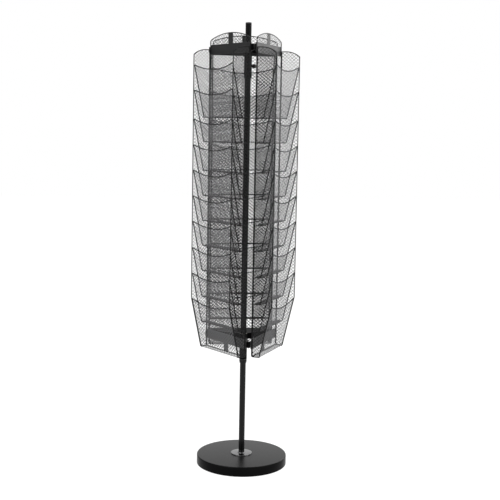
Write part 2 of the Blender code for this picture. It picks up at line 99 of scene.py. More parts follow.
# Mesh: two families of slanting flat strands between round rim wires. A strand share is the part of the
# spacing that a family's strands cover, and a fine part is what a finer strand halfway takes of that.
DIAMOND_WIDTH = 0.0146
DIAMOND_HEIGHT = 0.0122
STRAND_THICKNESS = 0.0002
FLOOR_STRAND_THICKNESS = 0.0008
SHORTEST_STRAND = 0.0002
BACK_STRAND_SHARE = 0.135
WALL_STRAND_SHARE = 0.17
POCKET_STRAND_SHARE = 0.17
FLOOR_STRAND_SHARE = 0.20
BACK_FINE_PART = 0.05
WALL_FINE_PART = 0.14
POCKET_FINE_PART = 0.0
FLOOR_FINE_PART = 0.5
RIM_RADIUS = 0.0016
POCKET_RIM_RADIUS = 0.0020
FLOOR_RIM_RADIUS = 0.0011
BEND_RADIUS = 0.0006
POCKET_INSET = 0.0016
POCKET_TOP_CORNER = 0.003
POCKET_FOOT_CORNER = 0.004
SMALL_CORNER = 0.002

# The first strand's place in spacings, and how far each family lies off the sheet's middle in thicknesses
FIRST_STRAND = 0.013
CROSSING_LIFT = 0.3

# Corners of a strand's cross-section as shares of its thickness and width, and the faces of its box
STRAND_CORNERS = ((-0.5, -0.5), (-0.5, 0.5), (0.5, 0.5), (0.5, -0.5))
STRAND_SIDES = [(i, (i + 1) % 4, 4 + (i + 1) % 4, 4 + i) for i in range(4)]
STRAND_FACES = STRAND_SIDES + [(3, 2, 1, 0), (4, 5, 6, 7)]

# Places of the coats on a mesh sheet
STRAND_COAT = 0
RIM_COAT = 1
FLOOR_COAT = 2

# Fine details of the turned pieces, screws, welds and knob; the dome's angles and the ripple's turn
# are in radians
BASE_FOOT_RADIUS = 0.0015
FLANGE_RIM_RADIUS = 0.0004
FLANGE_NECK_ROUNDING = 0.7 * FLANGE_EDGE
TUBE_EDGE = 0.0006
COLLAR_EDGE = 0.0005
SOCKET_DEPTH = 0.0012
SOCKET_TAPER = 0.0001
GRUB_BEARING = 250.0
GRUB_RADIUS = 0.0016
GRUB_DEPTH = 0.0012
GRUB_RISE = 0.0003
GRUB_EDGE = 0.0002
GRUB_SOCKET_RADIUS = 0.0009
SCREW_RADIUS = 0.0034
SCREW_EDGE = 0.0008
SCREW_DOME = 0.0014
SCREW_DOME_ANGLES = (0.4, 0.8, 1.1)
SCREW_HEIGHT = 0.0021
SCREW_SOCKET_RADIUS = 0.0012
SCREW_FROM_CORNER = 0.032
WELD_RADIUS = 0.0011
WELD_RIPPLE = 0.00018
WELD_RIPPLE_TURN = 2.1
WELD_STEPS = 24
WELD_END = 0.0006
WELD_SINK = 0.0001
WELD_OFFSET = 0.0004
KNOB_FINE_EDGE = 0.0004
KNOB_BACK_EDGE = 0.0008
KNOB_FACE_OUTER = 0.0022
KNOB_FACE_INNER = 0.0030
KNOB_FACE_DISH = 0.0004
FLUTE_COUNT = 18
FLUTE_DEPTH = 0.06
FLUTE_STEPS = 8
PLATE_EDGE = 0.0004
PLATE_EDGE_ANGLE = 50.0

# How finely round shapes are divided, and the angles above which edges stay sharp
ARCH_STEPS = 40
CROWN_STEPS = 14
DIP_STEPS = 32
CORNER_STEPS = 6
RIM_SIDES = 8
TURNED_SHARP_ANGLE = 35.0
SHEET_SHARP_ANGLE = 50.0

# A profile's point nearer to the axis than this lies on it, and a face of the base whose normal rises
# more than this takes the glossier copy of the base's coat, a painted sheen; lower faces take the duller
# copy, a painted shade
AXIS_RADIUS = 1e-7
BASE_TOP_SLOPE = 0.7

# Noise in the coats: its usual range, the part of it that tints, its detail, relief and scale on strands
NOISE_LOW = 0.3
NOISE_HIGH = 0.7
TINT_RANGE = (0.32, 0.68)
PATCH_DETAIL = 4.0
GRAIN_DETAIL = 2.0
GRAIN_DEPTH = 0.0003
STRAND_GRAIN = 140.0

# Blue of the strands' coats as a share of their grey
STRAND_BLUE = 1.03

# Sizes that follow from those above
POLE_BORE = POLE_RADIUS - POLE_WALL
RING_BORE = POLE_RADIUS + GAP
BOLT_HOLE_RADIUS = BOLT_RADIUS + GAP
HALF_WIDTH = COLUMN_WIDTH / 2
WALL_TOP = SHOULDER_HEIGHT - WALL_BELOW_SHOULDER
KNEE_HEIGHT = COLUMN_BOTTOM + POCKET_HEIGHT
INNER_START = RIM_WIDTH / 2 + GAP
POCKET_HALF_WIDTH = HALF_WIDTH - RIM_WIDTH - GAP
POCKET_RIM_REACH = POCKET_HALF_WIDTH - POCKET_RIM_RADIUS
POCKET_LEAN = (WALL_DEPTH - POCKET_DEPTH) / POCKET_HEIGHT
POCKET_FOOT = POCKET_DEPTH - POCKET_INSET + POCKET_LEAN * FLOOR_RIM_RADIUS
CORNER_POINTS = CORNER_STEPS + 1

X_AXIS, Y_AXIS, Z_AXIS = np.eye(3)
SIDES = (("left", 1), ("right", -1))
WHITE = (1.0, 1.0, 1.0, 1.0)


# Materials


def new_material(name):
    material = bpy.data.materials.new(name)
    material.use_nodes = True
    tree = material.node_tree
    return material, tree, tree.nodes["Principled BSDF"]


def add_node(tree, kind, **inputs):
    node = tree.nodes.new(kind)
    for socket, value in inputs.items():
        node.inputs[socket.replace("_", " ")].default_value = value
    return node


def add_noise(tree, scale, detail):
    place = tree.nodes.new("ShaderNodeTexCoord")
    noise = add_node(tree, "ShaderNodeTexNoise", Scale=scale, Detail=detail)
    tree.links.new(place.outputs["Object"], noise.inputs["Vector"])
    return noise


def spread(tree, source, low, high):
    """Maps a noise value to the range from low to high."""
    node = tree.nodes.new("ShaderNodeMapRange")
    node.inputs["From Min"].default_value = NOISE_LOW
    node.inputs["From Max"].default_value = NOISE_HIGH
    node.inputs["To Min"].default_value = low
    node.inputs["To Max"].default_value = high
    tree.links.new(source, node.inputs["Value"])
    return node.outputs["Result"]


def tint(tree, source, dark, light):
    """Maps a noise value to a colour from dark to light."""
    ramp = tree.nodes.new("ShaderNodeValToRGB")
    for element, position, colour in zip(ramp.color_ramp.elements, TINT_RANGE, (dark, light)):
        element.position = position
        element.color = (*colour, 1.0)
    tree.links.new(source, ramp.inputs["Fac"])
    return ramp.outputs["Color"]


def rough_surface(name, dark, light, rough, patch, grain, bump, specular=0.5, metallic=0.0):
    """A surface with soft colour patches, uneven gloss and a fine grain."""
    material, tree, shader = new_material(name)
    shader.inputs["Specular IOR Level"].default_value = specular
    shader.inputs["Metallic"].default_value = metallic
    patches = add_noise(tree, patch, PATCH_DETAIL)
    tree.links.new(tint(tree, patches.outputs["Fac"], dark, light), shader.inputs["Base Color"])
    fine = add_noise(tree, grain, GRAIN_DETAIL)
    tree.links.new(spread(tree, fine.outputs["Fac"], *rough), shader.inputs["Roughness"])
    relief = add_node(tree, "ShaderNodeBump", Strength=bump, Distance=GRAIN_DEPTH)
    tree.links.new(fine.outputs["Fac"], relief.inputs["Height"])
    tree.links.new(relief.outputs["Normal"], shader.inputs["Normal"])
    return material


def strand_coat(name, grey, specular, rough=(0.4, 0.6)):
    """Coat of fine strands and wires: one colour, with gloss that varies along them."""
    material, tree, shader = new_material(name)
    shader.inputs["Base Color"].default_value = (grey, grey, grey * STRAND_BLUE, 1.0)
    shader.inputs["Specular IOR Level"].default_value = specular
    fine = add_noise(tree, STRAND_GRAIN, GRAIN_DETAIL)
    tree.links.new(spread(tree, fine.outputs["Fac"], *rough), shader.inputs["Roughness"])
    return material


def make_materials():
    return {
        "coat": rough_surface(
            "black powder coat", dark=(0.007, 0.007, 0.0073), light=(0.010, 0.010, 0.0105),
            rough=(0.30, 0.40), patch=9.0, grain=950.0, bump=0.10, specular=0.25,
        ),
        # The lower straps' copy of the black powder coat, lighter and far glossier than the upper straps'
        # coat: painted floor light on the lower straps
        "lower_strap": rough_surface(
            "lower strap coat with painted floor light", dark=(0.033, 0.033, 0.034), light=(0.041, 0.041, 0.042),
            rough=(0.30, 0.38), patch=9.0, grain=950.0, bump=0.06, specular=1.0,
        ),
        "pole": rough_surface(
            "pole powder coat", dark=(0.0010, 0.0010, 0.0011), light=(0.0015, 0.0015, 0.0016),
            rough=(0.15, 0.20), patch=14.0, grain=800.0, bump=0.03, specular=0.18,
        ),
        # The upper tube's copy of the pole's coat, with much less gloss than the lower tube's: painted shade
        # of the rack on the upper pole
        "upper_pole": rough_surface(
            "upper pole coat with painted shade", dark=(0.0014, 0.0014, 0.0015), light=(0.002, 0.002, 0.0021),
            rough=(0.22, 0.30), patch=14.0, grain=800.0, bump=0.04, specular=0.075,
        ),
        # The base's one powder coat in two copies: a glossier one on the top as painted sheen, a duller one
        # on the side as painted shade
        "base": rough_surface(
            "base powder coat", dark=(0.0018, 0.0018, 0.0019), light=(0.0028, 0.0028, 0.0029),
            rough=(0.30, 0.37), patch=14.0, grain=800.0, bump=0.02, specular=0.175,
        ),
        "base_side_painted_shade": rough_surface(
            "base side coat with painted shade", dark=(0.0018, 0.0018, 0.0019), light=(0.0028, 0.0028, 0.0029),
            rough=(0.26, 0.34), patch=14.0, grain=800.0, bump=0.03, specular=0.03,
        ),
        "hub": rough_surface(
            "hub powder coat", dark=(0.0014, 0.0014, 0.0015), light=(0.002, 0.002, 0.0021),
            rough=(0.34, 0.44), patch=14.0, grain=800.0, bump=0.05, specular=0.04,
        ),
        "knob": rough_surface(
            "knob plastic", dark=(0.003, 0.003, 0.0031), light=(0.005, 0.005, 0.0052),
            rough=(0.36, 0.46), patch=90.0, grain=1300.0, bump=0.06, specular=0.1,
        ),
        "strand": strand_coat("black mesh coat", grey=0.016, specular=0.18),
        "wall": strand_coat("wall mesh coat", grey=0.013, specular=0.12),
        # Pocket strands are grey, far lighter than the black back and wall strands: painted sheen and
        # painted floor light on the black mesh
        "pocket": strand_coat("pocket mesh coat with painted sheen", grey=0.12, specular=0.4, rough=(0.5, 0.7)),
        "rim": strand_coat("black rim coat", grey=0.004, specular=0.12, rough=(0.3, 0.42)),
        "pocket_rim": strand_coat("pocket rim coat", grey=0.006, specular=0.2),
        "plate": rough_surface(
            "bright plate", dark=(0.15, 0.15, 0.152), light=(0.20, 0.20, 0.203),
            rough=(0.05, 0.09), patch=60.0, grain=420.0, bump=0.01, metallic=1.0,
        ),
        "zinc": rough_surface(
            "zinc steel", dark=(0.42, 0.42, 0.40), light=(0.54, 0.54, 0.53),
            rough=(0.28, 0.42), patch=130.0, grain=900.0, bump=0.06, metallic=1.0,
        ),
        "black_steel": rough_surface(
            "blackened steel", dark=(0.020, 0.020, 0.021), light=(0.034, 0.034, 0.035),
            rough=(0.30, 0.42), patch=130.0, grain=900.0, bump=0.06,
        ),
        "nylon": rough_surface(
            "natural nylon", dark=(0.66, 0.64, 0.57), light=(0.74, 0.72, 0.66),
            rough=(0.42, 0.55), patch=150.0, grain=900.0, bump=0.05,
        ),
        "plastic": rough_surface(
            "black plastic", dark=(0.013, 0.013, 0.0135), light=(0.020, 0.020, 0.021),
            rough=(0.34, 0.46), patch=90.0, grain=1300.0, bump=0.08, specular=0.4,
        ),
        "rubber": rough_surface(
            "black rubber", dark=(0.020, 0.020, 0.020), light=(0.036, 0.036, 0.035),
            rough=(0.75, 0.90), patch=60.0, grain=1100.0, bump=0.20, specular=0.3,
        ),
    }


# Mesh helpers


def add_piece(name, mesh, body, nodes=(), matrix=None):
    piece = bpy.data.objects.new(name, mesh)
    bpy.context.scene.collection.objects.link(piece)
    if matrix is not None:
        piece.matrix_world = matrix
    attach(piece, body)
    if nodes:
        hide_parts(*nodes)


def turn_about_z(degrees):
    return Matrix.Rotation(math.radians(degrees), 4, "Z")


def z_to_x():
    """The turn that lays a piece modelled along Z out along X."""
    return Matrix.Rotation(math.radians(90), 4, "Y")


def smooth_mesh(bm, name, coat):
    bmesh.ops.recalc_face_normals(bm, faces=bm.faces)
    mesh = bpy.data.meshes.new(name)
    bm.to_mesh(mesh)
    bm.free()
    mesh.shade_smooth()
    mesh.set_sharp_from_angle(angle=math.radians(TURNED_SHARP_ANGLE))
    mesh.materials.append(coat)
    return mesh


def arc(centre, radius, start_deg, end_deg, steps):
    angles = [math.radians(start_deg + (end_deg - start_deg) * i / steps) for i in range(steps + 1)]
    return [(centre[0] + radius * math.cos(a), centre[1] + radius * math.sin(a)) for a in angles]


def turned_bmesh(profile, steps, scale_at=None):
    """A closed solid of revolution about Z; scale_at(point index, angle) may flute it."""
    bm = bmesh.new()
    rings = []
    for index, (radius, height) in enumerate(profile):
        if radius < AXIS_RADIUS:
            rings.append([bm.verts.new((0.0, 0.0, height))])
            continue
        ring = []
        for step in range(steps):
            angle = math.tau * step / steps
            reach = radius * (scale_at(index, angle) if scale_at else 1.0)
            ring.append(bm.verts.new((reach * math.cos(angle), reach * math.sin(angle), height)))
        rings.append(ring)
    for first, second in zip(rings, rings[1:] + rings[:1]):
        if len(first) == 1 and len(second) == 1:
            continue
        for step in range(steps):
            ahead = (step + 1) % steps
            if len(first) == 1:
                bm.faces.new((first[0], second[step], second[ahead]))
            elif len(second) == 1:
                bm.faces.new((first[step], second[0], first[ahead]))
            else:
                bm.faces.new((first[step], second[step], second[ahead], first[ahead]))
    return bm


def turned(name, profile, coat, steps=64):
    return smooth_mesh(turned_bmesh(profile, steps), name, coat)


def rounded(corners):
    """A closed outline from (across, up, radius) corners, each rounded to its radius."""
    outline = []
    count = len(corners)
    for i, (across, up, radius) in enumerate(corners):
        here = Vector((across, up))
        if not radius:
            outline.append(here)
            continue
        back = (Vector(corners[i - 1][:2]) - here).normalized()
        ahead = (Vector(corners[(i + 1) % count][:2]) - here).normalized()
        half = back.angle(ahead) / 2
        reach = radius / math.tan(half)
        centre = here + (back + ahead).normalized() * radius / math.sin(half)
        start = here + back * reach - centre
        sweep = start.angle_signed(here + ahead * reach - centre)
        for step in range(CORNER_POINTS):
            outline.append(centre + Matrix.Rotation(-sweep * step / CORNER_STEPS, 2) @ start)
    return np.array([tuple(point) for point in outline])


def corner_shifts(outline):
    """For each point of a counter-clockwise outline, the mitred step inwards."""
    before = outline - np.roll(outline, 1, axis=0)
    before /= np.linalg.norm(before, axis=1)[:, None]
    after = np.roll(before, -1, axis=0)
    left_before = np.stack([-before[:, 1], before[:, 0]], axis=1)
    left_after = np.stack([-after[:, 1], after[:, 0]], axis=1)
    share = 1 + np.sum(left_before * left_after, axis=1)
    return (left_before + left_after) / share[:, None]


def end_shift(run):
    """The step to the left of a run."""
    return np.array([-run[1], run[0]]) / np.linalg.norm(run)


def stretches(outline, along, beside, spacing, shift):
    """The parts of evenly spaced parallel lines that lie inside a closed outline."""
    run = outline @ along
    level = outline @ beside
    next_run = np.roll(run, -1)
    next_level = np.roll(level, -1)
    found = []
    for number in range(math.ceil(level.min() / spacing), math.floor(level.max() / spacing) + 1):
        height = (number + shift) * spacing
        crossing = (level <= height) != (next_level <= height)
        share = (height - level[crossing]) / (next_level[crossing] - level[crossing])
        hits = np.sort(run[crossing] + share * (next_run[crossing] - run[crossing]))
        for start, end in zip(hits[::2], hits[1::2]):
            if end - start > SHORTEST_STRAND:
                found.append((along * start + beside * height, along * end + beside * height))
    return found


def placed(plane, flat, depth):
    """A point of a sheet in space, from its place in the sheet's plane and its depth in front of it."""
    origin, across, up, out = plane
    return origin + across * flat[0] + up * flat[1] + out * depth


class Sheet:
    """Collects strands and rim wires of flat mesh sheets, each placed by a plane's origin and axes."""

    def __init__(self):
        self.points = []
        self.faces = []
        self.coats = []

    def add(self, points, faces, coat):
        start = len(self.points)
        self.points.extend(points)
        self.faces.extend([tuple(start + i for i in face) for face in faces])
        self.coats.extend([coat] * len(faces))

    def strands(self, outline, plane, share, fine, coat=STRAND_COAT, thickness=STRAND_THICKNESS):
        """Two crossing families of flat strands inside an outline, with any finer ones halfway between."""
        spacing = DIAMOND_WIDTH * DIAMOND_HEIGHT / math.hypot(DIAMOND_WIDTH, DIAMOND_HEIGHT)
        slope = math.atan2(DIAMOND_HEIGHT, DIAMOND_WIDTH)
        for sign in (1, -1):
            along = np.array([math.cos(slope), sign * math.sin(slope)])
            beside = np.array([-along[1], along[0]])
            lift = sign * thickness * CROSSING_LIFT
            for shift, part in ((FIRST_STRAND, 1 - fine), (FIRST_STRAND + 0.5, fine)):
                width = spacing * share * part
                if not width:
                    continue
                for ends in stretches(outline, along, beside, spacing, shift):
                    corners = []
                    for point in ends:
                        for step_out, step_side in STRAND_CORNERS:
                            flat = point + beside * width * step_side
                            corners.append(placed(plane, flat, lift + thickness * step_out))
                    self.add(corners, STRAND_FACES, coat)

    def rim(self, outline, plane, radius=RIM_RADIUS, closed=True, coat=RIM_COAT):
        """A round wire along an outline, closed or with two flat ends."""
        shifts = corner_shifts(outline)
        if not closed:
            shifts[0] = end_shift(outline[1] - outline[0])
            shifts[-1] = end_shift(outline[-1] - outline[-2])
        points = []
        for point, shift in zip(outline, shifts):
            for step in range(RIM_SIDES):
                angle = math.tau * step / RIM_SIDES
                flat = point + shift * radius * math.cos(angle)
                points.append(placed(plane, flat, radius * math.sin(angle)))
        faces = []
        count = len(outline)
        for i in range(count if closed else count - 1):
            first = i * RIM_SIDES
            second = (i + 1) % count * RIM_SIDES
            for step in range(RIM_SIDES):
                ahead = (step + 1) % RIM_SIDES
                faces.append((first + step, first + ahead, second + ahead, second + step))
        if not closed:
            faces.append(tuple(reversed(range(RIM_SIDES))))
            faces.append(tuple(range((count - 1) * RIM_SIDES, count * RIM_SIDES)))
        self.add(points, faces, coat)

    def mesh(self, name, coats):
        mesh = bpy.data.meshes.new(name)
        mesh.from_pydata([tuple(point) for point in self.points], [], self.faces)
        for coat in coats:
            mesh.materials.append(coat)
        mesh.polygons.foreach_set("material_index", self.coats)
        mesh.shade_smooth()
        mesh.set_sharp_from_angle(angle=math.radians(SHEET_SHARP_ANGLE))
        mesh.validate()
        return mesh


# Mesh columns, each modelled with its back in the plane of X and Z and its pockets towards Y


def back_sheet(coats):
    """A back with an arched top between rounded shoulders."""
    radius = (HALF_WIDTH**2 + ARCH_RISE**2) / (2 * ARCH_RISE)
    half_sweep = math.degrees(math.asin(HALF_WIDTH / radius))
    centre = (0.0, SHOULDER_HEIGHT + ARCH_RISE - radius)
    arch = arc(centre, radius, 90 - half_sweep, 90 + half_sweep, ARCH_STEPS)
    kept = [point for point in arch if abs(point[0]) < HALF_WIDTH - ARCH_CORNER]
    corners = [(-HALF_WIDTH, COLUMN_BOTTOM, PANEL_CORNER), (HALF_WIDTH, COLUMN_BOTTOM, PANEL_CORNER)]
    corners += [(*arch[0], ARCH_CORNER)] + [(*point, 0) for point in kept] + [(*arch[-1], ARCH_CORNER)]
    outline = rounded(corners)
    wire = outline + corner_shifts(outline) * RIM_WIDTH / 2
    plane = (np.zeros(3), X_AXIS, Z_AXIS, -Y_AXIS)
    sheet = Sheet()
    sheet.strands(wire, plane, BACK_STRAND_SHARE, BACK_FINE_PART)
    sheet.rim(wire, plane)
    return sheet.mesh("back_mesh", coats)


def wall_sheet(coats):
    """A side wall with a falling round top and a foot cut off along the lowest pocket's front."""
    fall = math.degrees(math.asin((WALL_DEPTH - WALL_TOP_FLAT) / WALL_TOP_RADIUS))
    crown = arc((WALL_TOP_FLAT, WALL_TOP - WALL_TOP_RADIUS), WALL_TOP_RADIUS, 90 - fall, 90, CROWN_STEPS)
    kept = [point for point in crown[1:] if point[0] < WALL_DEPTH - WALL_CORNER]
    corners = [(INNER_START, COLUMN_BOTTOM, SMALL_CORNER), (POCKET_DEPTH, COLUMN_BOTTOM, RIM_WIDTH)]
    corners += [(WALL_DEPTH, KNEE_HEIGHT, PANEL_CORNER), (*crown[0], WALL_CORNER)]
    corners += [(*point, 0) for point in kept] + [(INNER_START, WALL_TOP, SMALL_CORNER)]
    outline = rounded(corners)
    wire = outline + corner_shifts(outline) * RIM_WIDTH / 2
    plane = (np.zeros(3), Y_AXIS, Z_AXIS, X_AXIS)
    sheet = Sheet()
    sheet.strands(wire, plane, WALL_STRAND_SHARE, WALL_FINE_PART)
    sheet.rim(wire, plane)
    return sheet.mesh("wall_mesh", coats)


def add_pocket_front(sheet, wired_bend):
    """The sloping front with a dipped top edge; its foot carries a rim wire or only a thin bend."""
    slant = math.hypot(1.0, POCKET_LEAN)
    reach = POCKET_RIM_REACH
    corners = [(-reach, 0.0, POCKET_FOOT_CORNER), (reach, 0.0, POCKET_FOOT_CORNER)]
    for step in range(DIP_STEPS + 1):
        across = reach * (1 - 2 * step / DIP_STEPS)
        dip = POCKET_DIP * (1 - (across / POCKET_HALF_WIDTH) ** 2)
        rise = POCKET_HEIGHT - dip - POCKET_RIM_RADIUS - FLOOR_RIM_RADIUS
        corners.append((across, rise * slant, 0.0 if 0 < step < DIP_STEPS else POCKET_TOP_CORNER))
    outline = rounded(corners)
    up = np.array([0, POCKET_LEAN / slant, 1 / slant])
    plane = (np.array([0, POCKET_FOOT, FLOOR_RIM_RADIUS]), X_AXIS, up, np.cross(X_AXIS, up))
    sheet.strands(outline, plane, POCKET_STRAND_SHARE, POCKET_FINE_PART)
    if wired_bend:
        sheet.rim(outline, plane, POCKET_RIM_RADIUS)
        return
    open_foot = np.roll(outline, -CORNER_POINTS, axis=0)
    sheet.rim(open_foot, plane, POCKET_RIM_RADIUS, closed=False)
    bend_reach = reach - POCKET_FOOT_CORNER
    bend = np.array([(-bend_reach, 0.0), (bend_reach, 0.0)])
    sheet.rim(bend, plane, BEND_RADIUS, closed=False, coat=STRAND_COAT)


def add_pocket_floor(sheet, wired_bend):
    """The level floor; without a wired bend its strands are thin and its front edge has no wire."""
    reach = POCKET_RIM_REACH
    back = INNER_START + FLOOR_RIM_RADIUS
    corners = [(-reach, back), (reach, back), (reach, POCKET_FOOT), (-reach, POCKET_FOOT)]
    outline = rounded([(*corner, SMALL_CORNER) for corner in corners])
    plane = (Z_AXIS * FLOOR_RIM_RADIUS, X_AXIS, Y_AXIS, Z_AXIS)
    thickness = FLOOR_STRAND_THICKNESS if wired_bend else STRAND_THICKNESS
    sheet.strands(outline, plane, FLOOR_STRAND_SHARE, FLOOR_FINE_PART, FLOOR_COAT, thickness)
    if wired_bend:
        sheet.rim(outline, plane, FLOOR_RIM_RADIUS)
        return
    open_front = np.roll(outline, -3 * CORNER_POINTS, axis=0)
    sheet.rim(open_front, plane, FLOOR_RIM_RADIUS, closed=False)


def pocket_sheet(name, coats, wired_bend):
    """One folded pocket: a sloping front and a level floor."""
    sheet = Sheet()
    add_pocket_front(sheet, wired_bend)
    add_pocket_floor(sheet, wired_bend)
    return sheet.mesh(name, coats)


def add_columns(coats):
    back = back_sheet((coats["strand"], coats["rim"]))
    wall = wall_sheet((coats["wall"], coats["rim"]))
    # Pocket strands take the light grey coat: painted sheen and painted floor light on the black mesh
    pocket_coats = (coats["pocket"], coats["pocket_rim"], coats["strand"])
    pocket = pocket_sheet("pocket_mesh", pocket_coats, wired_bend=True)
    lowest = pocket_sheet("lowest_pocket_mesh", pocket_coats, wired_bend=False)
    wall_offset = HALF_WIDTH - RIM_WIDTH / 2
    for letter, bearing in COLUMN_BEARINGS.items():
        column = turn_about_z(bearing - 90.0) @ Matrix.Translation((0, COLUMN_INRADIUS, 0))
        node = f"back_panel_{letter}"
        add_piece(f"{node}_mesh", back, "rack", [node], column)
        for side, sign in SIDES:
            node = f"side_wall_{letter}_{side}"
            place = column @ Matrix.Translation((sign * wall_offset, 0, 0))
            add_piece(f"{node}_mesh", wall, "rack", [node], place)
        for number in range(1, POCKET_COUNT + 1):
            node = f"pocket_{letter}_{number:02d}"
            place = column @ Matrix.Translation((0, 0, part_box(node)[0].z))
            mesh = lowest if number == POCKET_COUNT else pocket
            add_piece(f"{node}_mesh", mesh, "rack", [node], place)


# Stand


def add_base(coats):
    """The disc with a rounded edge above and below, and a recess for the bolt's head."""
    low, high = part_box("base_disc")
    recess_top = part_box("base_bolt")[0].z + BOLT_HEAD_HEIGHT + GAP
    foot = (BASE_RADIUS - BASE_FOOT_RADIUS, low.z + BASE_FOOT_RADIUS)
    edge = (BASE_RADIUS - BASE_EDGE_RADIUS, high.z - BASE_EDGE_RADIUS)
    profile = [(BOLT_HOLE_RADIUS, recess_top), (BOLT_RECESS_RADIUS, recess_top), (BOLT_RECESS_RADIUS, low.z)]
    profile += arc(foot, BASE_FOOT_RADIUS, -90, 0, steps=4)
    profile += arc(edge, BASE_EDGE_RADIUS, 0, 90, steps=8)
    profile.append((BOLT_HOLE_RADIUS, high.z))
    disc = turned("base_disc_turned", profile, coats["base"], steps=192)
    # One coat split by the faces' direction: the top keeps a glossier copy as painted sheen, the side a
    # duller copy as painted shade
    disc.materials.append(coats["base_side_painted_shade"])
    for face in disc.polygons:
        face.material_index = 0 if face.normal.z > BASE_TOP_SLOPE else 1
    add_piece("base_disc_turned", disc, "stand", ["base_disc"])


def add_flange(coats):
    """A flat plate with a low neck about the pole, rounded at its top."""
    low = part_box("pole_flange")[0]
    neck = RING_BORE + FLANGE_NECK
    plate = low.z + 2 * FLANGE_EDGE
    edge = (FLANGE_RADIUS - FLANGE_RIM_RADIUS, plate - FLANGE_RIM_RADIUS)
    shoulder = (neck - FLANGE_NECK_ROUNDING, plate + FLANGE_NECK_ROUNDING)
    profile = [(RING_BORE, low.z), (FLANGE_RADIUS, low.z)]
    profile += arc(edge, FLANGE_RIM_RADIUS, 0, 90, steps=4)
    profile.append((neck, plate))
    profile += arc(shoulder, FLANGE_NECK_ROUNDING, 0, 90, steps=6)
    profile.append((RING_BORE, plate + 2 * FLANGE_NECK_ROUNDING))
    mesh = turned("pole_flange_turned", profile, coats["plate"], steps=128)
    add_piece("pole_flange_turned", mesh, "stand", ["pole_flange"])


def add_pole(coats):
    """Two tubes with eased edges where they join, and the plug in the upper end."""
    low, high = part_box("lower_pole")
    insert_top = low.z + INSERT_LENGTH
    profile = [(BOLT_HOLE_RADIUS, low.z), (POLE_RADIUS, low.z), (POLE_RADIUS, high.z - TUBE_EDGE)]
    profile += [(POLE_RADIUS - TUBE_EDGE, high.z), (POLE_BORE, high.z)]
    profile += [(POLE_BORE, insert_top), (BOLT_HOLE_RADIUS, insert_top)]
    mesh = turned("lower_pole_tube", profile, coats["pole"])
    add_piece("lower_pole_tube", mesh, "stand", ["lower_pole"])

    low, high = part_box("upper_pole")
    profile = [(POLE_BORE, low.z), (POLE_RADIUS - TUBE_EDGE, low.z), (POLE_RADIUS, low.z + TUBE_EDGE)]
    profile += [(POLE_RADIUS, high.z), (POLE_BORE, high.z)]
    # The upper tube takes a duller copy of the pole's coat: painted shade of the rack around it
    mesh = turned("upper_pole_tube", profile, coats["upper_pole"])
    add_piece("upper_pole_tube", mesh, "stand", ["upper_pole"])

    low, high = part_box("pole_cap")
    stem = POLE_BORE - GAP
    rim = high.z - CAP_HEIGHT
    dome = (POLE_RADIUS - CAP_ROUNDING, high.z - CAP_ROUNDING)
    profile = [(0, low.z), (stem, low.z), (stem, rim), (POLE_RADIUS, rim)]
    profile += arc(dome, CAP_ROUNDING, 0, 90, steps=8)
    profile.append((0, high.z))
    mesh = turned("pole_cap_turned", profile, coats["plastic"])
    add_piece("pole_cap_turned", mesh, "stand", ["pole_cap"])


def add_collar(coats):
    """The collar, tapered at its foot, with a grub screw in its side."""
    low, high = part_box("stop_collar")
    radius = RING_BORE + COLLAR_WALL
    foot = RING_BORE + COLLAR_WALL / 3
    shoulder = low.z + COLLAR_TAPER
    profile = [(RING_BORE, low.z), (foot, low.z), (radius, shoulder), (radius, high.z - COLLAR_EDGE)]
    profile += [(radius - COLLAR_EDGE, high.z), (RING_BORE, high.z)]
    mesh = turned("stop_collar_turned", profile, coats["pole"])
    add_piece("stop_collar_turned", mesh, "stand", ["stop_collar"])

    socket_floor = GRUB_RISE - SOCKET_DEPTH
    profile = [(0, -GRUB_DEPTH), (GRUB_RADIUS, -GRUB_DEPTH), (GRUB_RADIUS, GRUB_RISE - GRUB_EDGE)]
    profile += [(GRUB_RADIUS - GRUB_EDGE, GRUB_RISE), (GRUB_SOCKET_RADIUS, GRUB_RISE)]
    profile += [(GRUB_SOCKET_RADIUS - SOCKET_TAPER, socket_floor), (0, socket_floor)]
    mesh = turned("collar_grub_screw", profile, coats["black_steel"], steps=24)
    place = Matrix.Translation((radius, 0, (shoulder + high.z) / 2))
    aim = turn_about_z(GRUB_BEARING) @ place @ z_to_x()
    add_piece("collar_grub_screw", mesh, "stand", matrix=aim)


# Hubs, straps and knob


def wing_screw(coat):
    """A pan-head screw with a round socket."""
    socket_floor = SCREW_HEIGHT - SOCKET_DEPTH
    profile = [(0, 0), (SCREW_RADIUS, 0), (SCREW_RADIUS, SCREW_EDGE)]
    for angle in SCREW_DOME_ANGLES:
        profile.append((SCREW_RADIUS * math.cos(angle), SCREW_EDGE + SCREW_DOME * math.sin(angle)))
    profile += [(SCREW_SOCKET_RADIUS, SCREW_HEIGHT), (SCREW_SOCKET_RADIUS - SOCKET_TAPER, socket_floor)]
    profile.append((0, socket_floor))
    return turned("wing_screw", profile, coat, steps=24)


def weld_bead(coat):
    """A rippled bead nearly as tall as an arm."""
    profile = [(0, WELD_END)]
    for step in range(WELD_STEPS + 1):
        height = WELD_END + (ARM_HEIGHT - 2 * WELD_END) * step / WELD_STEPS
        profile.append((WELD_RADIUS + WELD_RIPPLE * math.sin(step * WELD_RIPPLE_TURN), height))
    profile.append((0, ARM_HEIGHT - WELD_END))
    return turned("weld_bead", profile, coat, steps=12)


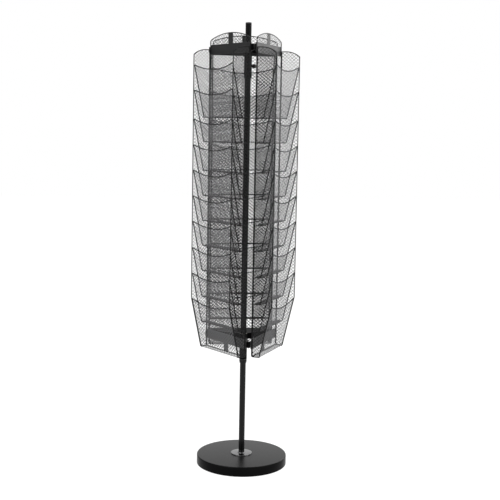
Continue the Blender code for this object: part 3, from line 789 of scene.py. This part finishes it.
def add_fasteners(coats):
    """Screws through the hubs' wings into the straps, and welds along the roots of the hubs' arms."""
    screw = wing_screw(coats["black_steel"])
    bead = weld_bead(coats["coat"])
    angle = math.radians(WING_ANGLE)
    normal = Vector((math.cos(angle), math.sin(angle), 0))
    along = Vector((-normal.y, normal.x, 0))
    corner = Vector((WING_FACE / normal.x, 0, 0))
    spot = corner + along * SCREW_FROM_CORNER - normal * WING_THICKNESS
    for hub in ("lower", "upper"):
        arm_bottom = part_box(f"{hub}_hub")[1].z - SLEEVE_ABOVE_ARMS - ARM_HEIGHT
        for number, bearing in enumerate(CORNER_BEARINGS, start=1):
            turn = turn_about_z(bearing)
            for side, sign in SIDES:
                place = Matrix.Translation((spot.x, sign * spot.y, arm_bottom + ARM_HEIGHT / 2))
                inwards = Vector((-normal.x, -sign * normal.y, 0))
                aim = inwards.to_track_quat("Z", "Y").to_matrix().to_4x4()
                name = f"{hub}_screw_{number}_{side}"
                add_piece(name, screw, "rack", matrix=turn @ place @ aim)
                offset = sign * (ARM_THICKNESS / 2 + WELD_OFFSET)
                root = Matrix.Translation((SLEEVE_RADIUS - WELD_SINK, offset, arm_bottom))
                name = f"{hub}_weld_{number}_{side}"
                add_piece(name, bead, "rack", matrix=turn @ root)


def add_knob(coats):
    """A thumb knob with a fluted head, a neck and a shank that ends just short of the pole."""
    neck = SLEEVE_RADIUS + GAP
    head = neck + KNOB_NECK_LENGTH
    end = head + KNOB_LENGTH
    tip = POLE_RADIUS + LOCK_TRAVEL
    profile = [(0, tip), (SHANK_RADIUS - KNOB_FINE_EDGE, tip), (SHANK_RADIUS, tip + KNOB_FINE_EDGE)]
    profile += [(SHANK_RADIUS, neck), (KNOB_NECK_RADIUS, neck)]
    profile += [(KNOB_NECK_RADIUS, head - KNOB_FINE_EDGE), (KNOB_NECK_RADIUS + KNOB_FINE_EDGE, head)]
    first_fluted = len(profile)
    profile += [(KNOB_RADIUS - KNOB_BACK_EDGE, head), (KNOB_RADIUS, head + KNOB_BACK_EDGE)]
    profile.append((KNOB_RADIUS, end - KNOB_ROUNDING))
    profile += arc((KNOB_RADIUS - KNOB_ROUNDING, end - KNOB_ROUNDING), KNOB_ROUNDING, 15, 75, steps=4)
    # The rounding's last two points stay round
    last_fluted = len(profile) - 3
    profile += [(KNOB_RADIUS - KNOB_FACE_OUTER, end), (KNOB_RADIUS - KNOB_FACE_INNER, end - KNOB_FACE_DISH)]
    profile.append((0, end - KNOB_FACE_DISH))

    def flute(index, angle):
        if first_fluted <= index <= last_fluted:
            return 1 - FLUTE_DEPTH * (0.5 + 0.5 * math.cos(FLUTE_COUNT * angle)) ** 2
        return 1.0

    fluted = turned_bmesh(profile, FLUTE_COUNT * FLUTE_STEPS, flute)
    mesh = smooth_mesh(fluted, "lock_knob_fluted", coats["knob"])
    aim = Matrix.Translation((0, 0, KNOB_HEIGHT)) @ turn_about_z(KNOB_BEARING) @ z_to_x()
    add_piece("lock_knob_fluted", mesh, "knob", ["lock_knob"], aim)


def dress_nodes(nodes, coats):
    """Coats for the solids that stay in view, with small rounded edges on the straps and hubs."""
    finish = {
        "base_pad": "rubber",
        "base_bolt": "zinc",
        "pole_joiner": "pole",
        "thrust_washer": "black_steel",
        "lower_bush": "nylon",
        "upper_bush": "nylon",
        "lower_hub": "hub",
        "upper_hub": "hub",
    }
    for letter in COLUMN_BEARINGS:
        finish[f"upper_strap_{letter}"] = "coat"
        # Lower straps take the lighter, glossier copy of the black coat: painted floor light
        finish[f"lower_strap_{letter}"] = "lower_strap"
    for name, coat in finish.items():
        node = nodes[name]
        node.data.materials.clear()
        node.data.materials.append(coats[coat])
        if "strap" in name or "hub" in name:
            edge = node.modifiers.new("rounded edges", "BEVEL")
            edge.width = PLATE_EDGE
            edge.segments = 2
            edge.limit_method = "ANGLE"
            edge.angle_limit = math.radians(PLATE_EDGE_ANGLE)


# Studio


def shown_rays(tree):
    """1 for rays that show a surface: from the camera, in reflections and through glass."""
    path = tree.nodes.new("ShaderNodeLightPath")
    total = path.outputs["Is Camera Ray"]
    for name in ("Is Glossy Ray", "Is Transmission Ray"):
        both = tree.nodes.new("ShaderNodeMath")
        both.operation = "MAXIMUM"
        tree.links.new(total, both.inputs[0])
        tree.links.new(path.outputs[name], both.inputs[1])
        total = both.outputs[0]
    return total


def add_world(ambient):
    """White where it shows, and an even light of the given strength."""
    world = bpy.data.worlds.new("studio")
    world.use_nodes = True
    tree = world.node_tree
    tree.nodes.clear()
    shown = add_node(tree, "ShaderNodeBackground", Color=WHITE, Strength=1.0)
    light = add_node(tree, "ShaderNodeBackground", Color=WHITE, Strength=ambient)
    mix = tree.nodes.new("ShaderNodeMixShader")
    out = tree.nodes.new("ShaderNodeOutputWorld")
    tree.links.new(shown_rays(tree), mix.inputs["Fac"])
    tree.links.new(light.outputs[0], mix.inputs[1])
    tree.links.new(shown.outputs[0], mix.inputs[2])
    tree.links.new(mix.outputs[0], out.inputs["Surface"])
    bpy.context.scene.world = world


def add_floor(reach, bounce, shade, glow):
    """A pale floor that shows white and still takes the object's shadow."""
    bm = bmesh.new()
    bmesh.ops.create_grid(bm, x_segments=8, y_segments=8, size=reach)
    mesh = bpy.data.meshes.new("floor")
    bm.to_mesh(mesh)
    bm.free()
    material = bpy.data.materials.new("pale floor")
    material.use_nodes = True
    tree = material.node_tree
    tree.nodes.clear()
    plain = add_node(tree, "ShaderNodeBsdfDiffuse", Color=(bounce, bounce, bounce, 1.0))
    soft = add_node(tree, "ShaderNodeBsdfDiffuse", Color=(shade, shade, shade, 1.0))
    white = add_node(tree, "ShaderNodeEmission", Color=WHITE, Strength=glow)
    both = tree.nodes.new("ShaderNodeAddShader")
    mix = tree.nodes.new("ShaderNodeMixShader")
    out = tree.nodes.new("ShaderNodeOutputMaterial")
    tree.links.new(soft.outputs[0], both.inputs[0])
    tree.links.new(white.outputs[0], both.inputs[1])
    tree.links.new(shown_rays(tree), mix.inputs["Fac"])
    tree.links.new(plain.outputs[0], mix.inputs[1])
    tree.links.new(both.outputs[0], mix.inputs[2])
    tree.links.new(mix.outputs[0], out.inputs["Surface"])
    mesh.materials.append(material)
    floor = bpy.data.objects.new("floor", mesh)
    bpy.context.scene.collection.objects.link(floor)


def add_softbox(name, place, aim, width, height, power):
    data = bpy.data.lights.new(name, "AREA")
    data.shape = "RECTANGLE"
    data.size = width
    data.size_y = height
    data.energy = power
    light = bpy.data.objects.new(name, data)
    light.location = place
    light.rotation_mode = "QUATERNION"
    light.rotation_quaternion = (Vector(aim) - Vector(place)).to_track_quat("-Z", "Y")
    bpy.context.scene.collection.objects.link(light)


def add_camera():
    bearing = math.radians(CAMERA_BEARING)
    heading = math.radians(CAMERA_BEARING + CAMERA_YAW)
    pitch = math.radians(CAMERA_PITCH)
    roll = math.radians(CAMERA_ROLL)
    level = Vector((-math.sin(heading), math.cos(heading), 0))
    side = Vector((math.cos(heading), math.sin(heading), 0))
    upright = Vector((0, 0, 1))
    ahead = level * math.cos(pitch) - upright * math.sin(pitch)
    above = level * math.sin(pitch) + upright * math.cos(pitch)
    right = side * math.cos(roll) + above * math.sin(roll)
    up = above * math.cos(roll) - side * math.sin(roll)
    data = bpy.data.cameras.new("camera")
    data.sensor_width = SENSOR_WIDTH
    data.lens = FOCAL_PIXELS / PHOTO_WIDTH * SENSOR_WIDTH
    data.clip_end = VIEW_END
    camera = bpy.data.objects.new("camera", data)
    turn = Matrix((right, up, -ahead)).transposed().to_4x4()
    spot = (CAMERA_DISTANCE * math.sin(bearing), -CAMERA_DISTANCE * math.cos(bearing), CAMERA_HEIGHT)
    camera.matrix_world = Matrix.Translation(spot) @ turn
    bpy.context.scene.collection.objects.link(camera)
    bpy.context.scene.camera = camera


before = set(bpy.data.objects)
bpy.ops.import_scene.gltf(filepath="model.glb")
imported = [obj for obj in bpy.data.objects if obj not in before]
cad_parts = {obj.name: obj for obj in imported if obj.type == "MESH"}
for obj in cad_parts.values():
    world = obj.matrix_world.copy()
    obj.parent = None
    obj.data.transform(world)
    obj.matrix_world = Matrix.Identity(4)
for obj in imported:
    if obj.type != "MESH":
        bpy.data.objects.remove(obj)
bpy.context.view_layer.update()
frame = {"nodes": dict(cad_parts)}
bpy.context.scene.view_settings.view_transform = "Standard"

add_camera()
coats = make_materials()
add_base(coats)
add_flange(coats)
add_pole(coats)
add_collar(coats)
add_columns(coats)
add_fasteners(coats)
add_knob(coats)
dress_nodes(frame["nodes"], coats)

add_world(ambient=0.55)
add_floor(reach=14.0, bounce=0.95, shade=0.25, glow=0.90)
add_softbox("key", place=(-1.8, -2.4, 3.2), aim=(0, 0, 0.8), width=1.6, height=1.6, power=85.0)
add_softbox("fill", place=(2.6, -1.6, 2.2), aim=(0, 0, 0.8), width=1.4, height=1.8, power=40.0)
add_softbox("rim", place=(2.6, 2.0, 1.9), aim=(0, 0, 1.1), width=1.2, height=1.8, power=38.0)
add_softbox("low left", place=(-1.9, -1.4, 0.4), aim=(0, 0, 0.4), width=1.6, height=0.7, power=12.0)
add_softbox("low right", place=(1.9, -1.4, 0.4), aim=(0, 0, 0.4), width=1.6, height=0.7, power=12.0)
